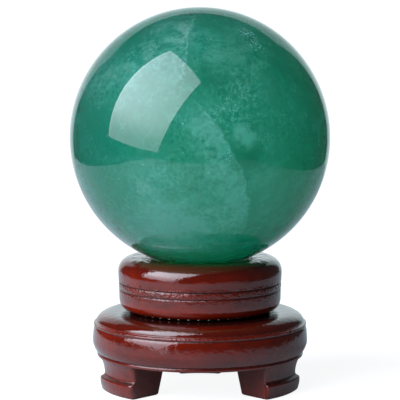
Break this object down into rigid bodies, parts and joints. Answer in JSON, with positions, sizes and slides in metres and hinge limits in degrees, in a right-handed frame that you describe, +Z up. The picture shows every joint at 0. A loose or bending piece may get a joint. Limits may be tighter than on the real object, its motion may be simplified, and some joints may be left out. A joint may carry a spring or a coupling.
{
  "type": "decorative sphere",
  "caption": "Polished green fluorite sphere resting in a dished, lacquered wooden seat disc that turns on a ball race above a round footed wooden base.",
  "frame": {"origin": "on the surface the feet stand on, under the sphere's centre", "axes": "+Z up along the axis the seat disc turns on, -Y towards the viewer of the picture, +X to the viewer's right"},
  "size_m": [0.0998, 0.0998, 0.1467],
  "materials": {
    "fluorite": "polished, cloudy and translucent",
    "lacquered_wood": "dark red-brown, glossy lacquer",
    "ball_steel": "polished"
  },
  "bodies": {
    "base": {"footed_base": "lacquered_wood", "bearing_ball_01": "ball_steel", "bearing_ball_02": "ball_steel", "bearing_ball_03": "ball_steel", "bearing_ball_04": "ball_steel", "bearing_ball_05": "ball_steel", "bearing_ball_06": "ball_steel", "bearing_ball_07": "ball_steel", "bearing_ball_08": "ball_steel", "bearing_ball_09": "ball_steel", "bearing_ball_10": "ball_steel", "bearing_ball_11": "ball_steel", "bearing_ball_12": "ball_steel", "bearing_ball_13": "ball_steel", "bearing_ball_14": "ball_steel", "bearing_ball_15": "ball_steel", "bearing_ball_16": "ball_steel", "bearing_ball_17": "ball_steel", "bearing_ball_18": "ball_steel", "bearing_ball_19": "ball_steel", "bearing_ball_20": "ball_steel", "bearing_ball_21": "ball_steel", "bearing_ball_22": "ball_steel", "bearing_ball_23": "ball_steel", "bearing_ball_24": "ball_steel", "bearing_ball_25": "ball_steel", "bearing_ball_26": "ball_steel", "bearing_ball_27": "ball_steel", "bearing_ball_28": "ball_steel", "bearing_ball_29": "ball_steel", "bearing_ball_30": "ball_steel", "bearing_ball_31": "ball_steel", "bearing_ball_32": "ball_steel", "bearing_ball_33": "ball_steel", "bearing_ball_34": "ball_steel", "bearing_ball_35": "ball_steel", "bearing_ball_36": "ball_steel", "bearing_ball_37": "ball_steel", "bearing_ball_38": "ball_steel", "bearing_ball_39": "ball_steel", "bearing_ball_40": "ball_steel", "bearing_ball_41": "ball_steel", "bearing_ball_42": "ball_steel"},
    "turntable": {"seat_disc": "lacquered_wood", "fluorite_sphere": "fluorite"}
  },
  "joints": [
    {"name": "turntable_spin", "type": "hinge", "parent": "base", "child": "turntable", "pos_m": [0, 0, 0.0301], "axis": [0, 0, 1], "continuous": true}
  ]
}
